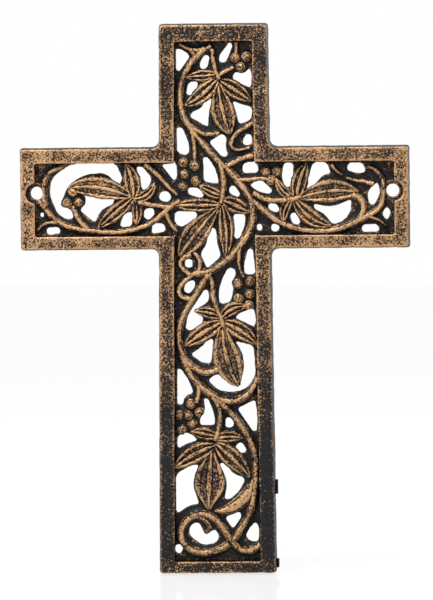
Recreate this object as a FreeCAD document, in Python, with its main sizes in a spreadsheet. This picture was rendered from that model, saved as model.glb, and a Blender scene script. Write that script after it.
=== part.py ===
import FreeCAD, Part
import Sketcher
import math
import os

# Openwork wall cross, sand-cast in iron.  A rail runs round the whole outline.  A thin pierced
# web fills the space inside it, and vines, ivy leaves and berries stand on the web in relief.
# Frame: +Z up, +X to the viewer's right, the front faces -Y and the back lies on y = 0, against
# the wall.  The origin is midway between the two screw holes at the ends of the arms.
# Drawing coordinates, used for the outline and the ornament, are X from the centreline and
# Z from the bottom of the foot, in millimetres.

doc = FreeCAD.newDocument("wall_cross")
os.makedirs("parts", exist_ok=True)

# ---------------------------------------------------------------- driving dimensions
sheet = doc.addObject("Spreadsheet::Sheet", "sizes")
DRIVING = [
    ("overall_height", 305.0),
    ("overall_width", 216.0),
    ("casting_depth", 12.0),
    ("arm_height", 57.0),
    ("arms_above_foot", 180.0),
    ("post_width_top", 60.8),
    ("post_width_foot", 65.6),
    ("outer_draft", 1.0),
    ("post_rail", 8.0),
    ("arm_rail", 7.8),
    ("top_rail", 9.1),
    ("foot_rail", 7.4),
    ("outer_corner_radius", 1.6),
    ("inner_corner_radius", 4.0),
    ("web_recess", 2.0),
    ("web_thickness", 4.5),
    ("vine_rise", 4.0),
    ("leaf_rise", 3.4),
    ("berry_diameter", 5.2),
    ("screw_from_arm_end", 9.5),
    ("screw_above_arm_centre", 3.4),
    ("screw_hole", 7.2),
    ("screw_boss", 11.4),
    ("gate_depth", 5.0),
    ("gate_proud", 1.2),
    ("upper_gate_height", 48.0),
    ("upper_gate_length", 8.0),
    ("lower_gate_height", 5.6),
    ("lower_gate_length", 5.0),
]
for row, (name, value) in enumerate(DRIVING, start=1):
    sheet.set("A%d" % row, name)
    sheet.set("B%d" % row, "%g" % value)
    sheet.setAlias("B%d" % row, name)
doc.recompute()


def size(name):
    return float(sheet.get(name))


HEIGHT = size("overall_height")
ARMS_LOW = size("arms_above_foot")
ARMS_HIGH = ARMS_LOW + size("arm_height")
SCREW_HEIGHT = ARMS_LOW + size("arm_height") / 2 + size("screw_above_arm_centre")
WEB_BACK = -size("web_recess")
WEB_FRONT = WEB_BACK - size("web_thickness")
DEPTH = size("casting_depth")
SCREW_Z = "(sizes.arms_above_foot + sizes.arm_height / 2 + sizes.screw_above_arm_centre)"


def post_half(z):
    """Half the post's width at the back, which widens evenly from the top to the foot."""
    share = z / HEIGHT
    return (size("post_width_foot") * (1 - share) + size("post_width_top") * share) / 2


def window_half(z):
    """Half the width of the open window inside the post's rails."""
    return post_half(z) - size("outer_draft") - size("post_rail")


FOOT_EDGE = size("foot_rail")
TOP_EDGE = HEIGHT - size("outer_draft") - size("top_rail")
ARM_WINDOW_LOW = ARMS_LOW + size("arm_rail")
ARM_WINDOW_HIGH = ARMS_HIGH - size("outer_draft") - size("arm_rail")
ARM_END = size("overall_width") / 2
ARM_WINDOW_END = ARM_END - size("outer_draft") - size("arm_rail")


# ---------------------------------------------------------------- sketches on the back plane
def origin_plane(body, role):
    return [item for item in body.Origin.OriginFeatures if item.Role == role][0]


def wall_sketch(body, name):
    """An empty sketch on the body's own XZ plane, whose normal points to the front."""
    sketch = body.newObject("Sketcher::SketchObject", name)
    sketch.AttachmentSupport = (origin_plane(body, "XZ_Plane"), [""])
    sketch.MapMode = "FlatFace"
    return sketch


def draw_polygon(sketch, corners):
    """Closed polygon; each corner is ((value, expression), (value, expression))."""
    first = sketch.GeometryCount
    count = len(corners)
    points = [FreeCAD.Vector(across[0], up[0], 0) for across, up in corners]
    for i in range(count):
        sketch.addGeometry(Part.LineSegment(points[i], points[(i + 1) % count]))
    for i in range(count):
        line = first + i
        sketch.addConstraint(Sketcher.Constraint("Coincident", line, 2, first + (i + 1) % count, 1))
        for kind, letter, (value, expression) in (
            ("DistanceX", "across", corners[i][0]),
            ("DistanceY", "up", corners[i][1]),
        ):
            index = sketch.addConstraint(Sketcher.Constraint(kind, line, 1, value))
            label = "%s_%d" % (letter, line)
            sketch.renameConstraint(index, label)
            sketch.setExpression("Constraints." + label, expression)


def draw_circle(sketch, name, across, up, diameter):
    """Circle whose centre and diameter are (value, expression) pairs."""
    centre = FreeCAD.Vector(across[0], up[0], 0)
    geo = sketch.addGeometry(Part.Circle(centre, FreeCAD.Vector(0, 0, 1), diameter[0] / 2))
    for kind, label, pair in (
        ("DistanceX", name + "_across", across),
        ("DistanceY", name + "_up", up),
    ):
        index = sketch.addConstraint(Sketcher.Constraint(kind, geo, 3, pair[0]))
        sketch.renameConstraint(index, label)
        sketch.setExpression("Constraints." + label, pair[1])
    index = sketch.addConstraint(Sketcher.Constraint("Diameter", geo, diameter[0]))
    sketch.renameConstraint(index, name + "_diameter")
    sketch.setExpression("Constraints.%s_diameter" % name, diameter[1])


def up_from_foot(value, expression):
    """A height above the foot as the sketch sees it, with the screw line at zero."""
    return (value - SCREW_HEIGHT, "(%s) - %s" % (expression, SCREW_Z))


def post_side(side, value_z, z_text, inset_value, inset_text):
    """X of the post's edge, or of a line parallel to it, at a height above the foot."""
    value = side * (post_half(value_z) - inset_value)
    text = "%d * ((sizes.post_width_foot + (sizes.post_width_top - sizes.post_width_foot)"
    text += " * (%s) / sizes.overall_height) / 2 - (%s))"
    return (value, text % (side, z_text, inset_text))


def cross_corners(inset_sides, inset_arms, inset_low, inset_top, inset_foot, inset_end):
    """The twelve corners of the cross outline, each edge moved inwards by its own inset."""
    low = (ARMS_LOW + inset_low[0], "sizes.arms_above_foot + " + inset_low[1])
    high = (ARMS_HIGH - inset_arms[0], "sizes.arms_above_foot + sizes.arm_height - (%s)" % inset_arms[1])
    top = (HEIGHT - inset_top[0], "sizes.overall_height - (%s)" % inset_top[1])
    foot = (inset_foot[0], inset_foot[1])
    end = (ARM_END - inset_end[0], "sizes.overall_width / 2 - (%s)" % inset_end[1])

    def post(side, level):
        return (post_side(side, level[0], level[1], *inset_sides), up_from_foot(*level))

    def arm(side, level):
        return ((side * end[0], "%d * (%s)" % (side, end[1])), up_from_foot(*level))

    right = [post(1, foot), post(1, low), arm(1, low), arm(1, high), post(1, high), post(1, top)]
    left = [post(-1, top), post(-1, high), arm(-1, high), arm(-1, low), post(-1, low), post(-1, foot)]
    return right + left


def check_cut(feature, before, name):
    if feature.Shape.Volume >= before - 1e-3:
        raise RuntimeError(name + " removed nothing")


def upright_edges(shape, places, reach):
    """Names of the edges that run from back to front near the given (x, z) places."""
    names = []
    for number, edge in enumerate(shape.Edges, start=1):
        box = edge.BoundBox
        if box.YLength < DEPTH * 0.9:
            continue
        for x, z in places:
            if abs(box.Center.x - x) < reach and abs(box.Center.z - z) < reach:
                names.append("Edge%d" % number)
    return names


# ---------------------------------------------------------------- border rail
NONE = (0.0, "0")
SIDE_INSET = (size("outer_draft") + size("post_rail"), "sizes.outer_draft + sizes.post_rail")
ARM_INSET = (size("outer_draft") + size("arm_rail"), "sizes.outer_draft + sizes.arm_rail")
OUTER = cross_corners(NONE, NONE, NONE, NONE, NONE, NONE)
WINDOW = cross_corners(
    SIDE_INSET,
    ARM_INSET,
    (size("arm_rail"), "sizes.arm_rail"),
    (size("outer_draft") + size("top_rail"), "sizes.outer_draft + sizes.top_rail"),
    (size("foot_rail"), "sizes.foot_rail"),
    ARM_INSET,
)
SCREW_ACROSS = (
    ARM_END - size("screw_from_arm_end"),
    "(sizes.overall_width / 2 - sizes.screw_from_arm_end)",
)


def screw_circles(sketch, diameter):
    for side, name in ((-1, "left"), (1, "right")):
        across = (side * SCREW_ACROSS[0], "%d * %s" % (side, SCREW_ACROSS[1]))
        draw_circle(sketch, name, across, (0.0, "0"), diameter)


def make_border():
    """The rail: a drafted cross-shaped block with the window and the screw seats cut through."""
    body = doc.addObject("PartDesign::Body", "border_frame")
    outline = wall_sketch(body, "border_outline")
    draw_polygon(outline, OUTER)
    block = body.newObject("PartDesign::Pad", "border_block")
    block.Profile = outline
    block.setExpression("Length", "sizes.casting_depth")
    block.setExpression("TaperAngle", "-atan(sizes.outer_draft / sizes.casting_depth)")
    outline.Visibility = False
    doc.recompute()
    corner_places = [(across[0], up[0]) for across, up in OUTER]
    inner = [corner_places[i] for i in (1, 4, 7, 10)]
    outer = [place for place in corner_places if place not in inner]
    reach = 2 * size("outer_draft")
    outside = body.newObject("PartDesign::Fillet", "outer_corners")
    outside.Base = (block, upright_edges(block.Shape, outer, reach))
    outside.setExpression("Radius", "sizes.outer_corner_radius")
    doc.recompute()
    inside = body.newObject("PartDesign::Fillet", "inner_corners")
    inside.Base = (outside, upright_edges(outside.Shape, inner, reach))
    inside.setExpression("Radius", "sizes.inner_corner_radius")
    doc.recompute()
    before = inside.Shape.Volume
    opening = wall_sketch(body, "window_outline")
    draw_polygon(opening, WINDOW)
    window = body.newObject("PartDesign::Pocket", "window")
    window.Profile = opening
    window.Type = "ThroughAll"
    window.Reversed = True
    doc.recompute()
    check_cut(window, before, "window")
    before = window.Shape.Volume
    seats = wall_sketch(body, "screw_seats")
    screw_circles(seats, (size("screw_boss"), "sizes.screw_boss"))
    seat = body.newObject("PartDesign::Pocket", "screw_seat")
    seat.Profile = seats
    seat.Type = "ThroughAll"
    seat.Reversed = True
    doc.recompute()
    check_cut(seat, before, "screw seat")
    return body


border = make_border()


# ---------------------------------------------------------------- round paths and outlines
def point(x, z, y=0.0):
    return FreeCAD.Vector(x, y, z - SCREW_HEIGHT)


def rounded_path(corners, closed, deepest_cut):
    """Straight runs joined by tangent arcs.  Each arc is as large as its two runs allow, and
    passes inside its corner by no more than deepest_cut."""
    count = len(corners)
    turns = range(count) if closed else range(1, count - 1)
    edges = []
    last = None if closed else corners[0]
    first = None
    for i in turns:
        before = corners[i - 1]
        here = corners[i]
        after = corners[(i + 1) % count]
        run_in = here - before
        run_out = after - here
        shorter = min(run_in.Length, run_out.Length)
        run_in.normalize()
        run_out.normalize()
        half_turn = run_in.getAngle(run_out) / 2
        radius = min(deepest_cut / (1 / math.cos(half_turn) - 1), 0.45 * shorter / math.tan(half_turn))
        reach = radius * math.tan(half_turn)
        start = here - run_in * reach
        end = here + run_out * reach
        inward = run_out - run_in
        inward.normalize()
        middle = here + inward * (radius / math.cos(half_turn) - radius)
        if last is not None:
            edges.append(Part.LineSegment(last, start).toShape())
        else:
            first = start
        edges.append(Part.Arc(start, middle, end).toShape())
        last = end
    finish = first if closed else corners[-1]
    edges.append(Part.LineSegment(last, finish).toShape())
    return Part.Wire(edges)


# The ornament is drawn to fit a window of these sizes, and follows the real window's edges.
DRAWN_FOOT = 7.4
DRAWN_ARM_LOW = 187.8
DRAWN_ARM_HIGH = 228.2
DRAWN_TOP = 294.9
DRAWN_HALF_FOOT = 23.8
DRAWN_HALF_TOP = 21.4
DRAWN_HEIGHT = 305.0
DRAWN_ARM_END = 99.2


def stretch(value, drawn, real):
    """Piecewise straight-line change of scale between the drawn and the real edges."""
    last = len(drawn) - 1
    for i in range(last):
        if value <= drawn[i + 1] or i == last - 1:
            share = (value - drawn[i]) / (drawn[i + 1] - drawn[i])
            return real[i] + share * (real[i + 1] - real[i])


def place(x, z, y=0.0):
    """From the ornament's drawing to the casting."""
    up = stretch(
        z,
        (DRAWN_FOOT, DRAWN_ARM_LOW, DRAWN_ARM_HIGH, DRAWN_TOP),
        (FOOT_EDGE, ARM_WINDOW_LOW, ARM_WINDOW_HIGH, TOP_EDGE),
    )
    drawn_half = DRAWN_HALF_FOOT + (DRAWN_HALF_TOP - DRAWN_HALF_FOOT) * z / DRAWN_HEIGHT
    side = math.copysign(1.0, x)
    across = stretch(abs(x), (0.0, drawn_half, DRAWN_ARM_END), (0.0, window_half(up), ARM_WINDOW_END))
    return point(side * across, up, y)


# ---------------------------------------------------------------- pierced web
HOLE_CORNER_CUT = 0.8
HOLES = [
    # top arm
    [(-20.7, 291.2), (-18, 290.9), (-12.6, 287.2), (-19, 278.4), (-20.7, 279.6)],
    [(-4.6, 288), (-1.8, 286.6), (-3.6, 280), (-7.4, 279.6), (-7.6, 283.4)],
    [(9.2, 294.8), (10.8, 292.6), (6.8, 283.2), (3.2, 283.4), (3.2, 287.2)],
    [(20, 280.4), (21.2, 276.4), (20.6, 269), (10.2, 273.6), (11.4, 278.2), (16.8, 277)],
    [(-14.2, 272.6), (-8.6, 273), (-9, 269), (-12.6, 265), (-15.2, 265.8)],
    [(-4.2, 263.8), (-0.8, 263.8), (-2.8, 256), (-3.2, 247.6), (-13.4, 253.4), (-12, 256.2), (-7, 258)],
    [(10.2, 262.2), (15, 260.2), (21.4, 258.4), (20.6, 251.4), (13.8, 249), (12.8, 254)],
    [(-20.7, 247.8), (-17.4, 247.4), (-14, 239), (-13.8, 233.6), (-16, 232.2), (-20.6, 233.8)],
    [(4.6, 244.2), (7, 241.4), (6.2, 236.6), (7.8, 231.8), (4.4, 231), (-3, 239.4)],
    [(17.8, 243.8), (20.8, 243.2), (21.3, 238), (16.6, 237.2), (15.6, 240)],
    # crossing
    [(-29.4, 227.2), (-21, 228), (-20.6, 221), (-22.2, 217.6), (-25, 221.4)],
    [(-6.4, 231.2), (-3.6, 231), (1, 224), (2.4, 216.4), (-6, 217.4), (-6, 225)],
    [(16.4, 227.8), (23.6, 228), (24.6, 222.4), (16, 222), (15.4, 225)],
    [(19.2, 215.6), (25.8, 218.6), (32, 212.6), (30.8, 210.4), (24.6, 211.4)],
    [(8, 214.6), (11, 215.4), (14.2, 210.8), (13.2, 208.6), (8.2, 210.8)],
    [(-14.8, 214.2), (-9, 214.4), (-5.8, 210.2), (-7.4, 208.4), (-14.8, 210.6)],
    [(-30, 212.4), (-25.6, 212.6), (-23.6, 208.4), (-26.4, 206.2), (-31.2, 207.8)],
    [(-21.8, 201.4), (-10, 201), (-9.8, 197.8), (-18.8, 192.2), (-22.2, 195)],
    [(10, 199.4), (16.8, 199.8), (16.8, 194), (13.6, 186), (10.8, 185.8), (11, 193)],
    [(-3.6, 192.2), (0.6, 191.8), (1, 184), (3.4, 176.2), (-4.6, 169.4), (-8.4, 178), (-4.8, 182.6)],
    [(23.2, 194), (26.2, 193.8), (26.2, 190.2), (23, 190.2)],
    # left arm
    [
        (-54.4, 228), (-80, 228), (-90.6, 220), (-91.6, 211), (-87.6, 201), (-82.6, 197.2),
        (-78, 197.8), (-79.4, 202.8), (-85.8, 204.8), (-81, 216.6), (-72, 222), (-60.6, 223),
        (-53, 215.8), (-50.8, 219.6),
    ],
    [
        (-72.4, 212), (-66, 208.6), (-55.2, 210.4), (-56, 205.6), (-63, 202.6), (-66.6, 195.2),
        (-75, 202.4), (-71, 206.4),
    ],
    [(-50, 200.4), (-45.4, 201.4), (-46, 193.2), (-52.6, 192.6), (-52, 196.2)],
    [(-43.4, 226.4), (-39.8, 226), (-34.4, 219.6), (-38, 212.2), (-40.4, 214)],
    [(-39, 203), (-34, 203.2), (-33, 199.8), (-36.8, 196.4), (-39.4, 198)],
    [(-34.6, 194.6), (-28.2, 194.8), (-27, 190.2), (-35.2, 188.8)],
    [(-96.8, 201.2), (-94.6, 201.4), (-94.8, 198.6), (-96.8, 198.8)],
    [(-93.4, 192.8), (-86.4, 193.2), (-85.2, 189.6), (-93.2, 188.6)],
    # right arm
    [(38.4, 227.8), (43.6, 227.6), (43.6, 221), (41.6, 214), (39.2, 214.2), (37, 219.2)],
    [(54.4, 227.8), (62.2, 227.8), (64.4, 221.4), (60, 220.6), (53.2, 213), (50.4, 213.4)],
    [(74, 227.2), (82, 227.4), (83.8, 222.2), (79.6, 221.2), (73, 223.2)],
    [(90, 216.6), (91.8, 211), (88.2, 203.8), (85.4, 204.4), (84.2, 211.4)],
    [(95.2, 203.2), (97.6, 199.8), (95.2, 195.2), (92, 199)],
    [(81.4, 193), (89.6, 193.4), (91.2, 190.4), (89.6, 189), (81, 189)],
    [(54.6, 204.8), (65, 202.8), (75.6, 207.2), (75.2, 200), (70.6, 195), (65, 193), (61, 199), (55, 202)],
    [(41.6, 199.6), (45, 200), (47.6, 194.2), (44.6, 192.8), (42.2, 195)],
    [(31.2, 194.2), (36, 193.2), (35.2, 189.6), (31, 189.6)],
    [(30, 205.4), (34.8, 204.8), (35.8, 200.6), (32.6, 200.2), (29.4, 202.6)],
    # post below the arms
    [(-16.8, 174.2), (-14.8, 175), (-12.6, 174.2), (-12.6, 170.6), (-14.8, 169.8), (-16.8, 170.6)],
    [(18.4, 180.4), (20.8, 180.2), (22.2, 166.2), (16.2, 165.8), (15.8, 172)],
    [(-16.6, 162), (-11.4, 163.4), (-11.2, 159.4), (-14.6, 155.4), (-17.8, 157)],
    [
        (7, 169.8), (11, 169.4), (11.2, 165.2), (8.6, 161.6), (10, 158.8), (8.4, 150.6),
        (2.2, 149.6), (1.6, 156), (3.4, 163),
    ],
    [
        (-6, 158), (-4, 157.4), (-3.4, 151.4), (-12, 146.2), (-6.8, 142.4), (-7.6, 138.6),
        (-14.2, 135), (-17, 136), (-15.4, 144),
    ],
    [(21, 147.6), (22.4, 141), (21.4, 136.8), (10.4, 142), (13, 144.6)],
    [(-4, 130.8), (-1.4, 130.2), (-2.8, 116.8), (-8, 117.2), (-14.2, 122), (-8, 126)],
    [
        (10.4, 129.2), (20.8, 126.6), (21.8, 109.6), (17, 103), (10, 100.6), (1, 101.6),
        (-4.8, 107.6), (0.6, 111.4), (12.6, 103.4), (15.6, 115), (14.4, 123),
    ],
    [(-21.7, 114), (-19.6, 114), (-15, 107), (-12.6, 100.4), (-17.4, 99), (-18.8, 94), (-21.8, 94)],
    [(-7.2, 97.6), (-4.6, 97.2), (-1.6, 90), (-0.8, 82.6), (-9.4, 82.6), (-9.4, 86), (-6.4, 90.6)],
    [(21.4, 96.6), (22.6, 88), (22.2, 79.2), (20, 79), (11.4, 91.8)],
    [(5, 86.8), (8, 86.8), (9.8, 83.2), (7.8, 80.8), (4.6, 81.2)],
    [(-22, 77), (-15.6, 79), (-10.4, 74.4), (-16.8, 72.4), (-21.8, 69.4)],
    [(9.8, 70.6), (13.4, 73.6), (16.6, 68.6), (14.8, 66.8), (11.4, 67.6)],
    # foot
    [
        (-14.4, 60.4), (-10.2, 60.8), (-14, 50), (-10, 38.8), (-16, 38), (-21.8, 33.8),
        (-23, 35.2), (-23, 55.6),
    ],
    [(1, 61.6), (5, 61.4), (8.4, 55.8), (15.6, 53), (12.6, 46.2), (7, 41.4), (3.6, 41.2), (5.8, 50.6)],
    [(4, 31.4), (12.6, 34.6), (13.2, 31.6), (8.4, 24.6)],
    [
        (-12.6, 28.6), (-9.8, 28), (-7, 21.4), (-1.4, 25), (1, 20.6), (-1.2, 17), (-8.6, 15.6),
        (-16, 21.4), (-15.6, 26.4),
    ],
    [(18.6, 26.6), (21.2, 29), (23, 25.4), (22.6, 17.8), (17.8, 17.8), (15.2, 21)],
    [(-23.6, 16.2), (-20.6, 16.8), (-19, 13.8), (-21.4, 11), (-23.6, 12.2)],
]


def hole_tools():
    """One upright prism for each hole of the web, long enough to go right through it."""
    tools = []
    for outline in HOLES:
        corners = [place(x, z, WEB_BACK + 1) for x, z in outline]
        wire = rounded_path(corners, True, HOLE_CORNER_CUT)
        tools.append(Part.Face(wire).extrude(FreeCAD.Vector(0, -size("web_thickness") - 2, 0)))
    return tools


holes = doc.addObject("Part::Feature", "web_holes")
holes.Shape = Part.makeCompound(hole_tools())


def window_corner(side, level, text):
    return (post_side(side, level, text, *SIDE_INSET), up_from_foot(level, text))


def arm_corner(side, level, text):
    across = (side * ARM_WINDOW_END, "%d * (sizes.overall_width / 2 - (%s))" % (side, ARM_INSET[1]))
    return (across, up_from_foot(level, text))


MID_POST = 98.0
LEVELS = {
    "foot": (FOOT_EDGE, "sizes.foot_rail"),
    "middle": (MID_POST, "%g" % MID_POST),
    "arm_low": (ARM_WINDOW_LOW, "sizes.arms_above_foot + sizes.arm_rail"),
    "arm_high": (
        ARM_WINDOW_HIGH,
        "sizes.arms_above_foot + sizes.arm_height - sizes.outer_draft - sizes.arm_rail",
    ),
    "top": (TOP_EDGE, "sizes.overall_height - sizes.outer_draft - sizes.top_rail"),
}


def post_panel(low, high):
    low = LEVELS[low]
    high = LEVELS[high]
    bottom = [window_corner(-1, *low), window_corner(1, *low)]
    return bottom + [window_corner(1, *high), window_corner(-1, *high)]


def arm_panel(side):
    low = LEVELS["arm_low"]
    high = LEVELS["arm_high"]
    bottom = [window_corner(side, *low), arm_corner(side, *low)]
    return bottom + [arm_corner(side, *high), window_corner(side, *high)]


def make_web(label, corners, beside_screw=False):
    """One panel of the web: a plate that fills its part of the window, pierced by the holes."""
    body = doc.addObject("PartDesign::Body", label + "_plate")
    sketch = wall_sketch(body, label + "_outline")
    draw_polygon(sketch, corners)
    sketch.AttachmentOffset = FreeCAD.Placement(FreeCAD.Vector(0, 0, -WEB_BACK), FreeCAD.Rotation())
    sketch.setExpression("AttachmentOffset.Base.z", "sizes.web_recess")
    plate = body.newObject("PartDesign::Pad", label + "_pad")
    plate.Profile = sketch
    plate.setExpression("Length", "sizes.web_thickness")
    doc.recompute()
    if beside_screw:
        before = plate.Shape.Volume
        seats = wall_sketch(body, label + "_seats")
        screw_circles(seats, (size("screw_boss"), "sizes.screw_boss"))
        seat = body.newObject("PartDesign::Pocket", label + "_seat")
        seat.Profile = seats
        seat.Type = "ThroughAll"
        seat.Reversed = True
        doc.recompute()
        check_cut(seat, before, label)
    pierced = doc.addObject("Part::Cut", label)
    pierced.Base = body
    pierced.Tool = holes
    pierced.Label = label
    return pierced


webs = [
    make_web("web_top_arm", post_panel("arm_high", "top")),
    make_web("web_crossing", post_panel("arm_low", "arm_high")),
    make_web("web_left_arm", arm_panel(-1), True),
    make_web("web_right_arm", arm_panel(1), True),
    make_web("web_upper_post", post_panel("middle", "arm_low")),
    make_web("web_lower_post", post_panel("foot", "middle")),
]


# ---------------------------------------------------------------- screw bosses
def make_boss(label, side):
    """Ring round a screw hole, level with the front of the web, for the screw's head to sit on."""
    body = doc.addObject("PartDesign::Body", label)
    across = (side * SCREW_ACROSS[0], "%d * %s" % (side, SCREW_ACROSS[1]))
    outline = wall_sketch(body, label + "_outline")
    draw_circle(outline, "rim", across, (0.0, "0"), (size("screw_boss"), "sizes.screw_boss"))
    draw_circle(outline, "bore", across, (0.0, "0"), (size("screw_hole"), "sizes.screw_hole"))
    ring = body.newObject("PartDesign::Pad", label + "_ring")
    ring.Profile = outline
    ring.setExpression("Length", "sizes.web_recess + sizes.web_thickness")
    doc.recompute()
    return body


bosses = [make_boss("screw_boss_left", -1), make_boss("screw_boss_right", 1)]


# ---------------------------------------------------------------- casting gate stubs
def make_gate(label, height_text, length_text):
    """Ground-off stub of the sand mould's gate, on the right edge of the post at the back."""
    block = doc.addObject("Part::Box", label + "_block")
    edge = "(sizes.post_width_foot - (sizes.post_width_foot - sizes.post_width_top)"
    edge += " * %s / sizes.overall_height) / 2" % height_text
    block.setExpression("Length", "sizes.outer_draft + sizes.gate_proud")
    block.setExpression("Width", "sizes.gate_depth")
    block.setExpression("Height", length_text)
    block.setExpression(".Placement.Base.x", edge + " - sizes.outer_draft")
    block.setExpression(".Placement.Base.y", "-sizes.gate_depth")
    block.setExpression(".Placement.Base.z", "%s - %s / 2 - %s" % (height_text, length_text, SCREW_Z))
    stub = doc.addObject("Part::Cut", label)
    stub.Base = block
    stub.Tool = border
    stub.Label = label
    return stub


gates = [
    make_gate("gate_stub_upper", "sizes.upper_gate_height", "sizes.upper_gate_length"),
    make_gate("gate_stub_lower", "sizes.lower_gate_height", "sizes.lower_gate_length"),
]
doc.recompute()


# ---------------------------------------------------------------- relief: shared shaping
FRONT = FreeCAD.Vector(0, -1, 0)
SMALLEST_SOLID = 0.6
SCREW_CLEARANCE = 0.2
VINE_CORNER_CUT = 5.0
LOOSER_CUTS = (0.0, 0.001, 0.01)


def relief_space():
    """The room in front of the web and inside the rails that the relief may fill."""
    corners = [FreeCAD.Vector(across[0], WEB_FRONT, up[0]) for across, up in WINDOW]
    outline = Part.makePolygon(corners + corners[:1])
    room = Part.Face(outline).extrude(FRONT * (DEPTH + WEB_FRONT))
    radius = size("screw_hole") / 2 + SCREW_CLEARANCE
    for side in (-1, 1):
        centre = FreeCAD.Vector(side * SCREW_ACROSS[0], 0, 0)
        room = room.cut(Part.makeCylinder(radius, 2 * DEPTH, centre, FRONT))
    return room


ROOM = relief_space()
relief = []


def strand_section(centre, along, width, rise):
    """Section of a vine: a flat foot, two steep flanks and a round crest."""
    side = along.cross(FRONT)
    shoulder = 0.33 * width
    shoulder_rise = 0.66 * rise

    def spot(across, up):
        return centre + side * across + FRONT * up

    edges = [
        Part.LineSegment(spot(width / 2, 0), spot(-width / 2, 0)),
        Part.LineSegment(spot(-width / 2, 0), spot(-shoulder, shoulder_rise)),
        Part.Arc(spot(-shoulder, shoulder_rise), spot(0, rise), spot(shoulder, shoulder_rise)),
        Part.LineSegment(spot(shoulder, shoulder_rise), spot(width / 2, 0)),
    ]
    return Part.Wire([edge.toShape() for edge in edges])


def strand(width, corners, end_share=1.0, rise_share=1.0):
    """A vine swept along its route on the web; end_share narrows it towards its last point."""
    path = rounded_path([place(x, z, WEB_FRONT) for x, z in corners], False, VINE_CORNER_CUT)
    rise = size("vine_rise") * rise_share
    first = path.Edges[0]
    last = path.Edges[-1]
    sweep = Part.BRepOffsetAPI.MakePipeShell(path)
    sweep.setBiNormalMode(FRONT)
    start = first.valueAt(first.FirstParameter)
    sweep.add(strand_section(start, first.tangentAt(first.FirstParameter), width, rise))
    if end_share != 1.0:
        end = last.valueAt(last.LastParameter)
        along = last.tangentAt(last.LastParameter)
        sweep.add(strand_section(end, along, width * end_share, rise * end_share))
    sweep.build()
    sweep.makeSolid()
    return sweep.shape()


def trimmed(shape):
    """The shape inside the relief's room, cut back from what already stands there."""
    shape = shape.common(ROOM)
    neighbours = [other.Shape for other in relief if other.Shape.BoundBox.intersect(shape.BoundBox)]
    if neighbours:
        shape = shape.cut(neighbours)
    for neighbour in neighbours:
        for tolerance in LOOSER_CUTS:
            if shape.common(neighbour).Volume > SMALLEST_SOLID:
                shape = shape.cut((neighbour,), tolerance)
    solids = [solid for solid in shape.Solids if solid.Volume > SMALLEST_SOLID]
    return solids[0] if len(solids) == 1 else Part.makeCompound(solids)


def add_relief(label, shapes):
    """A node of the relief made of one or more shapes that grow into each other."""
    shape = shapes[0]
    for other in shapes[1:]:
        largest = max(shape.Volume, other.Volume)
        shape = shape.fuse(other)
        if shape.Volume < largest:
            raise RuntimeError(label + " lost a shape where two grow together")
    feature = doc.addObject("Part::Feature", label)
    feature.Shape = trimmed(shape)
    feature.Label = label
    relief.append(feature)
    return feature


# ---------------------------------------------------------------- relief: vines
add_relief("vine_right_arm", [
    strand(3.8, [
        (6.5, 225.2), (10, 221.8), (13.6, 217.6), (17.2, 212.4), (20.2, 208.2), (24, 204.3),
        (28.5, 200.3), (33, 196.6), (38.5, 193.6), (45, 191.2), (52, 189.8), (60, 189.6),
        (67, 190.5), (74, 192.7), (80, 195.6), (85.5, 198.6),
    ]),
])
add_relief("curl_right_arm", [
    strand(3.2, [
        (82, 196.8), (87.6, 199.4), (91.6, 202.8), (93.4, 208), (93.7, 213.6), (92.8, 219),
        (89.8, 223.2), (84.6, 225.2),
    ], 0.6),
])
add_relief("vine_top_arm", [
    strand(3.4, [
        (-1, 292.4), (-5, 290.4), (-9.3, 286.6), (-13, 281.8), (-16.4, 276.2), (-18.4, 269),
        (-18.6, 261), (-16.7, 253.5), (-13.1, 247), (-8, 241), (-3, 234.8), (2, 229), (7, 224.6),
    ]),
])
add_relief("vine_upper_post", [
    strand(4.2, [
        (20.4, 207.5), (21, 202.5), (21.2, 196.5), (19.4, 189.5), (15.5, 184), (11, 178.6),
        (6, 173.6), (0.5, 169.8), (-5, 167.2), (-11, 167),
    ]),
])
add_relief("vine_left_arm", [
    strand(3.0, [
        (-19, 207.3), (-23, 205), (-27, 201.5), (-31.5, 197.4), (-37, 194), (-44, 191.4),
        (-52, 189.9), (-60, 190), (-68, 190.9), (-76, 191.9), (-83, 194), (-88, 197), (-92, 201),
        (-95, 205.3), (-98, 208.6),
    ]),
])
add_relief("curl_left_arm", [
    strand(3.2, [
        (-93.4, 204.8), (-94.6, 210), (-94.8, 216), (-93, 221.2), (-89.5, 224.6), (-83, 226.4),
    ], 0.7),
])
add_relief("vine_middle_post", [
    strand(3.6, [
        (-3.5, 166.5), (-8, 160), (-12, 153.5), (-16, 147.5), (-19.2, 141), (-20.4, 134), (-20, 127),
        (-17.8, 120.6), (-13.4, 115.2), (-8, 112.2), (-3, 112.2), (1, 114),
    ]),
])
add_relief("vine_lower_post", [
    strand(3.8, [
        (-18.8, 121.6), (-15.8, 114), (-12, 107.6), (-6.8, 102.6), (-1.5, 99.1), (4, 96.3),
        (9.5, 95.5), (15, 97.7), (19.2, 101.6), (23, 108.5),
    ]),
])
add_relief("vine_foot", [
    strand(4.0, [
        (0, 98.6), (5.8, 91.8), (10.4, 87), (14.4, 81.4), (18, 75.2), (20.8, 68.5), (21.6, 61),
        (21.4, 53), (20.6, 46), (19.4, 38.5), (17, 31.8), (13.6, 26.2), (9, 19.2),
    ]),
])
add_relief("scroll_foot", [
    strand(4.0, [
        (23.6, 16.4), (18.4, 12.8), (13, 13.2), (8.4, 17.8), (4.6, 23.4), (0.4, 29.2), (-5, 33.2),
        (-11.5, 33.8), (-17.1, 30.4), (-20.4, 24.6), (-19.8, 18.2), (-15.2, 13.6), (-8, 11.7),
        (-1, 12.6), (6.2, 17),
    ]),
])
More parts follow.
